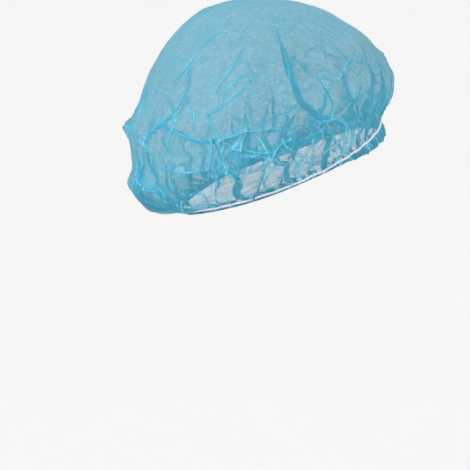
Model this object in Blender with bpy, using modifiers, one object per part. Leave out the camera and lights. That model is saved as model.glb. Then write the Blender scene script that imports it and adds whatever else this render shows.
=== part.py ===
"""Bouffant cap: a round sheet of spunbond nonwoven gathered on an elastic, in the form that it has on a head.

Metres, +Z up. The wearer faces -Y and the wearer's right is -X. The origin is the centre of the opening
that the elastic makes. Azimuths run from the brow (0) over the wearer's right ear (90) to the nape (180),
and a place down the cap is a share of the way from the top of the crown (0) to the gathers (1).
"""

import math
from collections import namedtuple

import bmesh
import bpy
import numpy as np

# The crown's outside
CAP_WIDTH = 0.190
CAP_LENGTH = 0.247
CROWN_HEIGHT = 0.145

# The opening, along the line where the cloth is gathered, as seen from above
OPENING_WIDTH = 0.156
OPENING_LENGTH = 0.188
BROW_RISE = 0.0485
NAPE_DROP = 0.0385

# Cloth, elastic and frill
CLOTH_THICKNESS = 0.001
ELASTIC_WIDTH = 0.0026
ELASTIC_THICKNESS = 0.0012
THROAT_ABOVE_ELASTIC = 0.0015
THROAT_BELOW_ELASTIC = 0.0004
FRILL_WIDTH = 0.009
FRILL_WAVE = 0.0018
FRILL_FLARE = 0.0025
GAP = 0.0003

# Gathers, folds and dents
PLEATS = 42
GATHER_DEPTH = 0.0036
PINCH_DEPTH = 0.0007
FOLD_HALF_WIDTH = 0.015
FOLD_HEIGHT = 0.006
DENT_DEPTH = 0.007

# How finely the sheet is divided. A crest and a valley of the gathers have a column each.
COLUMNS = 2 * PLEATS
TOP_ROWS = 5
SIDE_ROWS = 21
FRILL_ROWS = 3
FOLD_SAMPLES = 24

# Rings of the crown, top to gathers. Widths and lengths are shares of CAP_WIDTH and CAP_LENGTH, back is how
# far the ring's centre lies behind the opening's, a share of CAP_LENGTH, height is a share of CROWN_HEIGHT,
# and tilt a share of the opening's tilt. elastic is how far the ring already follows the opening.
Section = namedtuple("Section", "down width length back height tilt elastic")
SECTIONS = [
    Section(0.000, 0.000, 0.000, 0.077, 1.000, 0.00, 0.00),
    Section(0.070, 0.155, 0.130, 0.079, 0.996, 0.01, 0.00),
    Section(0.137, 0.305, 0.256, 0.081, 0.983, 0.01, 0.00),
    Section(0.248, 0.547, 0.456, 0.093, 0.928, 0.08, 0.00),
    Section(0.358, 0.737, 0.640, 0.095, 0.813, 0.24, 0.00),
    Section(0.465, 0.874, 0.790, 0.085, 0.683, 0.42, 0.00),
    Section(0.562, 0.947, 0.891, 0.079, 0.552, 0.56, 0.00),
    Section(0.668, 0.989, 0.981, 0.080, 0.408, 0.73, 0.00),
    Section(0.757, 0.989, 0.998, 0.074, 0.278, 0.91, 0.00),
    Section(0.832, 0.976, 1.005, 0.081, 0.172, 1.04, 0.05),
    Section(0.885, 0.953, 1.022, 0.090, 0.118, 1.10, 0.20),
    Section(0.947, 0.905, 1.014, 0.096, 0.052, 1.25, 0.50),
    Section(1.000, 0.900, 1.000, 0.100, 0.000, 1.20, 1.00),
]

# Folds that stand out of the cloth, each through three places. wide and high are shares of FOLD_HALF_WIDTH
# and FOLD_HEIGHT, and narrow_start is the share of that width and height that the fold starts with.
Fold = namedtuple("Fold", "name a1 d1 a2 d2 a3 d3 wide high narrow_start")
FOLDS = [
    Fold("long pleat over the ear", 110, 0.34, 103, 0.62, 87, 0.86, 1.2, 1.2, 0.15),
    Fold("rear pleat", 158, 0.42, 156, 0.55, 171, 0.69, 1.1, 0.9, 0.3),
    Fold("rear pleat's upper end", 148, 0.35, 157, 0.42, 166, 0.51, 0.8, 0.6, 0.4),
    Fold("thin crease behind the pleat", 129, 0.42, 135, 0.50, 141, 0.58, 0.8, 0.5, 0.4),
    Fold("cross fold behind the ear", 165, 0.67, 150, 0.71, 134, 0.73, 0.9, 0.8, 0.5),
    Fold("cross fold over the ear lobe", 134, 0.73, 121, 0.80, 108, 0.90, 1.0, 1.0, 0.9),
    Fold("upper branch", 134, 0.73, 122, 0.73, 110, 0.76, 0.8, 0.6, 0.8),
    Fold("fold down to the neck", 140, 0.73, 134, 0.81, 128, 0.94, 1.0, 1.1, 0.6),
    Fold("upright fold at the neck", 140, 0.75, 140, 0.84, 142, 0.94, 0.7, 0.6, 0.5),
    Fold("temple crease", 92, 0.57, 88, 0.67, 88, 0.75, 0.8, 0.7, 0.4),
    Fold("temple pleat", 80, 0.59, 76, 0.73, 70, 0.88, 1.0, 1.0, 0.3),
    Fold("temple swirl", 93, 0.76, 82, 0.81, 77, 0.93, 1.0, 1.0, 0.7),
    Fold("brow pleat", 59, 0.60, 60, 0.74, 58, 0.90, 0.9, 0.8, 0.3),
    Fold("brow crease", 46, 0.58, 50, 0.70, 51, 0.84, 0.8, 0.6, 0.4),
    Fold("nape crease", 174, 0.70, 181, 0.80, 166, 0.89, 1.0, 0.7, 0.6),
    Fold("brow middle pleat", 12, 0.55, 6, 0.72, 9, 0.90, 1.0, 0.9, 0.3),
    Fold("left brow pleat", 334, 0.50, 325, 0.68, 318, 0.88, 1.1, 1.0, 0.2),
    Fold("left temple crease", 296, 0.58, 300, 0.72, 294, 0.88, 0.9, 0.8, 0.4),
    Fold("left long pleat", 262, 0.38, 270, 0.60, 281, 0.86, 1.2, 1.1, 0.15),
    Fold("left cross fold", 226, 0.70, 240, 0.76, 254, 0.79, 0.9, 0.8, 0.6),
    Fold("left fold to the neck", 232, 0.73, 240, 0.83, 236, 0.94, 1.0, 1.0, 0.5),
    Fold("left rear pleat", 214, 0.44, 208, 0.58, 201, 0.72, 1.0, 0.8, 0.3),
]

# Hollows and swellings of the crown, an azimuth and a place down the cap with the reach of each, in degrees
# and as a share of the way down. out is a share of DENT_DEPTH, and below zero the cloth is hollow there.
Dent = namedtuple("Dent", "name around down reach_around reach_down out")
DENTS = [
    Dent("rear corner", 206, 0.665, 16, 0.032, 0.70),
    Dent("notch above the rear corner", 199, 0.57, 20, 0.06, -0.35),
    Dent("waist at the back", 198, 0.755, 24, 0.045, -0.75),
    Dent("underside of the rear pouch", 192, 0.90, 22, 0.05, -0.50),
    Dent("nape", 180, 0.93, 16, 0.04, -0.30),
    Dent("brow corner", 30, 0.60, 14, 0.05, 0.30),
    Dent("brow pouch", 28, 0.72, 18, 0.05, 0.20),
    Dent("pinch over the brow", 48, 0.87, 18, 0.05, -0.60),
    Dent("hollow before the long pleat", 95, 0.60, 10, 0.13, -0.60),
    Dent("pouch behind the ear", 128, 0.86, 14, 0.06, 0.40),
    Dent("hollow over the cross fold", 150, 0.62, 14, 0.05, -0.50),
    Dent("pouch under the cross fold", 155, 0.79, 14, 0.06, 0.40),
    Dent("temple hollow", 74, 0.66, 9, 0.09, -0.50),
    Dent("ear", 101, 0.83, 12, 0.06, 0.45),
    Dent("left ear", 259, 0.83, 12, 0.06, 0.45),
    Dent("left hollow", 285, 0.62, 14, 0.11, -0.60),
    Dent("left pouch", 236, 0.80, 16, 0.07, 0.50),
    Dent("middle brow hollow", 355, 0.64, 12, 0.09, -0.40),
]

# How wide the frill is below the elastic, from the brow to the nape, the same on both sides
Frill = namedtuple("Frill", "around width")
FRILL = [
    Frill(0, 1.0),
    Frill(50, 1.0),
    Frill(66, 0.85),
    Frill(84, 0.48),
    Frill(100, 0.28),
    Frill(115, 0.25),
    Frill(130, 0.25),
    Frill(150, 0.35),
    Frill(165, 0.50),
    Frill(180, 0.55),
]

# Where along the way down the crown's rows get closer, and where the gathers start and are deepest
TOP_ENDS = 0.34
GATHERS_START = 0.66
GATHERS_DEEPEST = 0.92

# How uneven the gathers are: by how much of a pleat they move round the cap, and the share of depth they lose
PLEAT_SHIFT = 1.1
SHALLOWEST_PLEAT = 0.45

# The cloth beside a fold is drawn in: how far off and how wide, in half widths, and how deep, in fold heights
VALLEY_AT = 1.1
VALLEY_REACH = 0.4
VALLEY_DEPTH = 0.4

# Steps for slopes, in radians and as a share of the way down, and where the top's outward directions are read
SMALL_STEP = 0.001
NEAR_TOP = 0.02

TILT = math.atan2(BROW_RISE + NAPE_DROP, OPENING_LENGTH)
THROAT_LENGTH = THROAT_ABOVE_ELASTIC + ELASTIC_WIDTH + THROAT_BELOW_ELASTIC


def smooth_step(value):
    """0 below 0, 1 above 1, and a smooth rise between."""
    share = np.clip(value, 0, 1)
    return share * share * (3 - 2 * share)


def smooth_rows(table, at):
    """The table's other columns at each value of its first, on a smooth curve through its rows."""
    rows = np.array(table, float)
    places = rows[:, 0]
    values = rows[:, 1:]
    spans = np.diff(places)[:, None]
    steps = np.diff(values, axis=0) / spans
    slopes = np.concatenate(
        [
            steps[:1],
            (steps[:-1] * spans[1:] + steps[1:] * spans[:-1]) / (spans[1:] + spans[:-1]),
            steps[-1:],
        ]
    )
    i = np.clip(np.searchsorted(places, at, side="right") - 1, 0, len(spans) - 1)
    span = spans[i]
    t = (np.asarray(at, float)[..., None] - places[i][..., None]) / span
    return (
        (2 * t**3 - 3 * t**2 + 1) * values[i]
        + (t**3 - 2 * t**2 + t) * span * slopes[i]
        + (3 * t**2 - 2 * t**3) * values[i + 1]
        + (t**3 - t**2) * span * slopes[i + 1]
    )


def plain_crown(around, down):
    """Points of the smooth crown, without folds, at azimuths in radians and places down the cap."""
    width, length, back, height, tilt, elastic = np.moveaxis(smooth_rows(SECTIONS, down), -1, 0)
    elastic = np.clip(elastic, 0, 1)
    free = 1 - elastic
    mean_rise = (BROW_RISE + NAPE_DROP) / 2
    more_rise = (BROW_RISE - NAPE_DROP) / 2
    across = (free * width * CAP_WIDTH + elastic * OPENING_WIDTH) / 2
    along = (free * length * CAP_LENGTH + elastic * OPENING_LENGTH) / 2
    forward = np.cos(around)
    x = -across * np.sin(around)
    y = free * back * CAP_LENGTH - along * forward
    z = free * height * CROWN_HEIGHT + (free * tilt + elastic) * mean_rise * forward
    return np.stack([x, y, z + elastic * more_rise * forward**2], axis=-1)


def unit(vectors):
    """The vectors at length 1."""
    return vectors / np.linalg.norm(vectors, axis=-1, keepdims=True)


def outward(around, down):
    """Unit vectors out of the smooth crown. Near its top, where all columns meet, they are read lower down."""
    low = np.clip(down - SMALL_STEP, NEAR_TOP, 1)
    high = np.clip(down + SMALL_STEP, NEAR_TOP + SMALL_STEP, 1)
    round_it = plain_crown(around + SMALL_STEP, low) - plain_crown(around - SMALL_STEP, low)
    down_it = plain_crown(around, high) - plain_crown(around, low)
    return unit(np.cross(round_it, down_it))


def opening_axis():
    """The way out of the opening, down and a little forward."""
    return np.array([0.0, -math.sin(TILT), -math.cos(TILT)])


def opening_outward(around):
    """Unit vectors from the gathering line away from the head, square to the line and the opening's axis."""
    one = np.ones_like(around)
    line = plain_crown(around + SMALL_STEP, one) - plain_crown(around - SMALL_STEP, one)
    return unit(np.cross(line, opening_axis()))


def fold_height(fold, points):
    """How far one fold lifts each of the points out of the cloth, or draws it in beside the fold."""
    t = np.linspace(0, 1, FOLD_SAMPLES)
    first = (1 - t) * (1 - 2 * t)
    middle = 4 * t * (1 - t)
    last = t * (2 * t - 1)
    around = np.radians(first * fold.a1 + middle * fold.a2 + last * fold.a3)
    down = first * fold.d1 + middle * fold.d2 + last * fold.d3
    line = plain_crown(around, down)
    far = np.linalg.norm(points[..., None, :] - line, axis=-1)
    nearest = far.argmin(axis=-1)
    grown = (fold.narrow_start + (1 - fold.narrow_start) * t)[nearest]
    off = far.min(axis=-1) / (FOLD_HALF_WIDTH * fold.wide * grown)
    ridge = 1 - smooth_step(off)
    valley = VALLEY_DEPTH * np.exp(-(((off - VALLEY_AT) / VALLEY_REACH) ** 2))
    return FOLD_HEIGHT * fold.high * grown * (ridge - valley)


def dent_height(dent, around, down):
    """How far one swelling or hollow moves the cloth outwards."""
    turn = (np.degrees(around) - dent.around + 180) % 360 - 180
    far = np.hypot(turn / dent.reach_around, (down - dent.down) / dent.reach_down)
    return DENT_DEPTH * dent.out * (1 - smooth_step(far / 2)) ** 2


def columns():
    """The columns' azimuths, no two pleats quite alike in width."""
    even = np.arange(COLUMNS) * 2 * math.pi / COLUMNS
    return even + PLEAT_SHIFT / PLEATS * (np.sin(even * 5 + 1) + 0.6 * np.sin(even * 8 + 4))


def crests():
    """For each column, 1 on a crest of the gathers and -1 in a valley."""
    return np.where(np.arange(COLUMNS) % 2, -1.0, 1.0)


def gather_height(around, down):
    """The pleats: none on the crown, deepest over the elastic, and drawn in at the elastic."""
    rising = smooth_step((down - GATHERS_START) / (GATHERS_DEEPEST - GATHERS_START)) ** 1.5
    uneven = SHALLOWEST_PLEAT + (1 - SHALLOWEST_PLEAT) * np.cos(around * 6.5 + np.sin(around * 2)) ** 2
    return GATHER_DEPTH * rising * near_gathers(down) * uneven * crests()


def near_gathers(down):
    """1 on the crown, falling to 0 where the elastic draws the cloth in."""
    return smooth_step((1 - down) / (1 - GATHERS_DEEPEST))


def crown_points():
    """The crown's outside as rows of points, from its top to the end of the throat inside the elastic."""
    places = np.append(np.linspace(0, TOP_ENDS, TOP_ROWS + 1), np.linspace(TOP_ENDS, 1, SIDE_ROWS + 1)[1:])
    around, down = np.meshgrid(columns(), places)
    smooth = plain_crown(around, down)
    height = gather_height(around, down)
    for fold in FOLDS:
        height += fold_height(fold, smooth) * near_gathers(down)
    for dent in DENTS:
        height += dent_height(dent, around, down) * near_gathers(down)
    cloth = smooth + outward(around, down) * height[..., None]
    cloth[-1] += pinch_in(around[-1])
    throat = [cloth[-1] + opening_axis() * THROAT_LENGTH * share for share in (0.5, 1.0)]
    return np.concatenate([cloth, throat])


def pinch_in(around):
    """From the gathering line inwards to the drawn-in cloth, whose crests reach the line itself."""
    depth = PINCH_DEPTH * (1 - crests()) / 2
    return -opening_outward(around) * depth[:, None]


def frill_points():
    """The frill's outside as rows of points, from just below the throat to its free edge."""
    around = columns()
    one = np.ones_like(around)
    from_brow = 180 - np.abs(np.degrees(around) % 360 - 180)
    width = FRILL_WIDTH * smooth_rows(FRILL, from_brow)[:, 0]
    out = opening_outward(around)
    top = plain_crown(around, one) + pinch_in(around) + opening_axis() * (THROAT_LENGTH + GAP)
    wave = crests() * FRILL_WAVE + FRILL_FLARE
    rows = []
    for share in np.linspace(0, 1, FRILL_ROWS + 1):
        flare = wave * (width / FRILL_WIDTH) * share**2
        rows.append(top + opening_axis() * (width * share)[:, None] + out * flare[:, None])
    return np.array(rows)


def mesh_object(name, rows, finish, collection):
    """A sheet through rows of points that run round the cap. Points in one place are merged."""
    mesh = bmesh.new()
    rings = [[mesh.verts.new(point) for point in row] for row in rows]
    for upper, lower in zip(rings, rings[1:]):
        for i in range(len(upper)):
            j = (i + 1) % len(upper)
            mesh.faces.new((upper[i], upper[j], lower[j], lower[i]))
    bmesh.ops.remove_doubles(mesh, verts=mesh.verts, dist=1e-6)
    data = bpy.data.meshes.new(name)
    mesh.to_mesh(data)
    mesh.free()
    data.shade_smooth()
    data.materials.append(finish)
    made = bpy.data.objects.new(name, data)
    collection.objects.link(made)
    return made


def give_thickness(sheet):
    """Cloth inside the modelled outer face."""
    solid = sheet.modifiers.new("cloth thickness", "SOLIDIFY")
    solid.thickness = CLOTH_THICKNESS
    solid.offset = -1


def material(name, colour, roughness):
    made = bpy.data.materials.new(name)
    made.use_nodes = True
    shader = made.node_tree.nodes["Principled BSDF"]
    shader.inputs["Base Color"].default_value = (*colour, 1)
    shader.inputs["Roughness"].default_value = roughness
    shader.inputs["Metallic"].default_value = 0
    return made


def crown(collection, cloth):
    """The gathered sheet over the head, down to the throat inside the elastic."""
    made = mesh_object("crown", crown_points(), cloth, collection)
    give_thickness(made)


def hem_frill(collection, cloth):
    """The sheet's ruffled margin below the elastic."""
    made = mesh_object("hem_frill", frill_points(), cloth, collection)
    give_thickness(made)


def elastic_band(collection, white):
    """A flat elastic with rounded edges, sewn round the outside of the throat."""
    around = columns()
    middle = plain_crown(around, np.ones_like(around))
    middle = middle + opening_axis() * (THROAT_ABOVE_ELASTIC + ELASTIC_WIDTH / 2)
    out = opening_outward(around)
    middle = middle + out * (GAP + ELASTIC_THICKNESS / 2)
    half_width = ELASTIC_WIDTH / 2
    half_thick = ELASTIC_THICKNESS / 2
    outline = [
        (half_thick, half_width / 2),
        (half_thick, -half_width / 2),
        (0, -half_width),
        (-half_thick, -half_width / 2),
        (-half_thick, half_width / 2),
        (0, half_width),
    ]
    rows = [middle + out * across - opening_axis() * along for across, along in outline]
    mesh_object("elastic_band", np.array(rows + rows[:1]), white, collection)


def main():
    for old in list(bpy.data.objects):
        bpy.data.objects.remove(old)
    collection = bpy.data.collections.new("bouffant cap")
    bpy.context.scene.collection.children.link(collection)
    cloth = material("blue nonwoven", (0.22, 0.55, 0.70), 0.65)
    white = material("white elastic", (0.88, 0.90, 0.92), 0.60)
    crown(collection, cloth)
    elastic_band(collection, white)
    hem_frill(collection, cloth)


main()
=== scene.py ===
"""Bouffant cap: the looks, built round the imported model.

Metres, +Z up. The front of the cap is towards -Y, and its right side towards -X.
"""

import math
from collections import namedtuple

import bmesh
import bpy
import numpy as np
from mathutils import Matrix, Vector


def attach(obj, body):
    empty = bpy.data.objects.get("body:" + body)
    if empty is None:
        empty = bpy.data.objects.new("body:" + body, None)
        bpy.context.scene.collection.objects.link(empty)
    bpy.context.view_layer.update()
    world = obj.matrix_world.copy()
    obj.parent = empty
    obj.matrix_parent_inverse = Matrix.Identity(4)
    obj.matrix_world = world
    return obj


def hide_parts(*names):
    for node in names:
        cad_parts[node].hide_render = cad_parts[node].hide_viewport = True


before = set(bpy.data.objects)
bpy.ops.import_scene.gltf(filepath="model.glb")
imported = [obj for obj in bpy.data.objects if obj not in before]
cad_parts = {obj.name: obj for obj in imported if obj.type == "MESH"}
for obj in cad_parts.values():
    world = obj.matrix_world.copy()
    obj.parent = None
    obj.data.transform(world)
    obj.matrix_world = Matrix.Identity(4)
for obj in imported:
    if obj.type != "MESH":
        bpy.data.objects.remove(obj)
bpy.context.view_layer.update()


# The cap is one disc of light blue spunbond nonwoven, 53 cm across, whose edge is drawn together on an elastic.
# It stands full all round, is pulled smooth over the top, and falls in flat pleats and sharp creases that get
# smaller and closer towards the elastic. Two of them cross like a star on the right, towards the back.

MM = 0.001
SHEET_RADIUS = 0.265
HEM_WIDTH = 0.014
CAP_WIDTH = 0.190
CAP_LENGTH = 0.247
CROWN_HEIGHT = 0.145

# The line of the gathers, and how far it stands over the origin at the front and under it at the back
OPENING_WIDTH = 0.156
OPENING_LENGTH = 0.188
FRONT_RISE = 0.0485
BACK_DROP = 0.0385

# The throat is the pinched cloth that runs down inside the elastic
ELASTIC_WIDTH = 0.0026
THROAT_ABOVE_ELASTIC = 0.0015
THROAT_LENGTH = THROAT_ABOVE_ELASTIC + ELASTIC_WIDTH + 0.0004
GATHERED_RADIUS = SHEET_RADIUS - HEM_WIDTH - THROAT_LENGTH

# Rings of the smooth crown, from its top to the gathers, as shares of the sizes above
Section = namedtuple("Section", "down width length back height tilt elastic")
SECTIONS = [
    Section(0.000, 0.000, 0.000, 0.077, 1.000, 0.00, 0.00),
    Section(0.070, 0.155, 0.130, 0.079, 0.996, 0.01, 0.00),
    Section(0.137, 0.305, 0.256, 0.081, 0.983, 0.01, 0.00),
    Section(0.248, 0.547, 0.456, 0.093, 0.928, 0.08, 0.00),
    Section(0.358, 0.737, 0.640, 0.095, 0.813, 0.24, 0.00),
    Section(0.465, 0.874, 0.790, 0.085, 0.683, 0.42, 0.00),
    Section(0.562, 0.947, 0.891, 0.079, 0.552, 0.56, 0.00),
    Section(0.668, 0.989, 0.981, 0.080, 0.408, 0.73, 0.00),
    Section(0.757, 0.989, 0.998, 0.074, 0.278, 0.91, 0.00),
    Section(0.832, 0.976, 1.005, 0.081, 0.172, 1.04, 0.05),
    Section(0.885, 0.953, 1.022, 0.090, 0.118, 1.10, 0.20),
    Section(0.947, 0.905, 1.014, 0.096, 0.052, 1.25, 0.50),
    Section(1.000, 0.900, 1.000, 0.100, 0.000, 1.20, 1.00),
]


def smooth_step(value):
    """From 0 to 1 as the value goes from 0 to 1, starting and ending gently."""
    share = np.clip(value, 0, 1)
    return share * share * (3 - 2 * share)


def smooth_rows(table, at):
    """The table's other columns at each value of its first, on a smooth curve through its rows."""
    rows = np.array(table, float)
    places = rows[:, 0]
    values = rows[:, 1:]
    spans = np.diff(places)[:, None]
    steps = np.diff(values, axis=0) / spans
    inner = (steps[:-1] * spans[1:] + steps[1:] * spans[:-1]) / (spans[1:] + spans[:-1])
    slopes = np.concatenate([steps[:1], inner, steps[-1:]])
    i = np.clip(np.searchsorted(places, at, side="right") - 1, 0, len(spans) - 1)
    span = spans[i]
    t = (np.asarray(at, float)[..., None] - places[i][..., None]) / span
    return (
        (2 * t**3 - 3 * t**2 + 1) * values[i]
        + (t**3 - 2 * t**2 + t) * span * slopes[i]
        + (3 * t**2 - 2 * t**3) * values[i + 1]
        + (t**3 - t**2) * span * slopes[i + 1]
    )


def plain_crown(around, down):
    """Points of the smooth crown at azimuths in radians and shares of the way down."""
    width, length, back, height, tilt, elastic = np.moveaxis(smooth_rows(SECTIONS, down), -1, 0)
    elastic = np.clip(elastic, 0, 1)
    free = 1 - elastic
    mean_rise = (FRONT_RISE + BACK_DROP) / 2
    more_rise = (FRONT_RISE - BACK_DROP) / 2
    across = (free * width * CAP_WIDTH + elastic * OPENING_WIDTH) / 2
    along = (free * length * CAP_LENGTH + elastic * OPENING_LENGTH) / 2
    forward = np.cos(around)
    x = -across * np.sin(around)
    y = free * back * CAP_LENGTH - along * forward
    z = free * height * CROWN_HEIGHT + (free * tilt + elastic) * mean_rise * forward
    return np.stack([x, y, z + elastic * more_rise * forward**2], axis=-1)


def unit(vectors):
    """The vectors, each made one long."""
    return vectors / np.maximum(np.linalg.norm(vectors, axis=-1, keepdims=True), 1e-12)


def outward(around, down):
    """Unit vectors out of the smooth crown."""
    step = 1e-3
    low = np.clip(down - step, 0.02, 1)
    high = np.clip(down + step, 0.02 + step, 1)
    round_it = plain_crown(around + step, low) - plain_crown(around - step, low)
    down_it = plain_crown(around, high) - plain_crown(around, low)
    return unit(np.cross(round_it, down_it))


# The opening slants down to the back. Its axis points down out of the cap.
TILT = math.atan2(FRONT_RISE + BACK_DROP, OPENING_LENGTH)
OPENING_AXIS = np.array([0.0, -math.sin(TILT), -math.cos(TILT)])


def opening_outward(around):
    """Unit vectors outwards from the opening, square to the line of the gathers and to the opening's axis."""
    one = np.ones_like(around)
    line = plain_crown(around + 1e-3, one) - plain_crown(around - 1e-3, one)
    return unit(np.cross(line, OPENING_AXIS))


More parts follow.
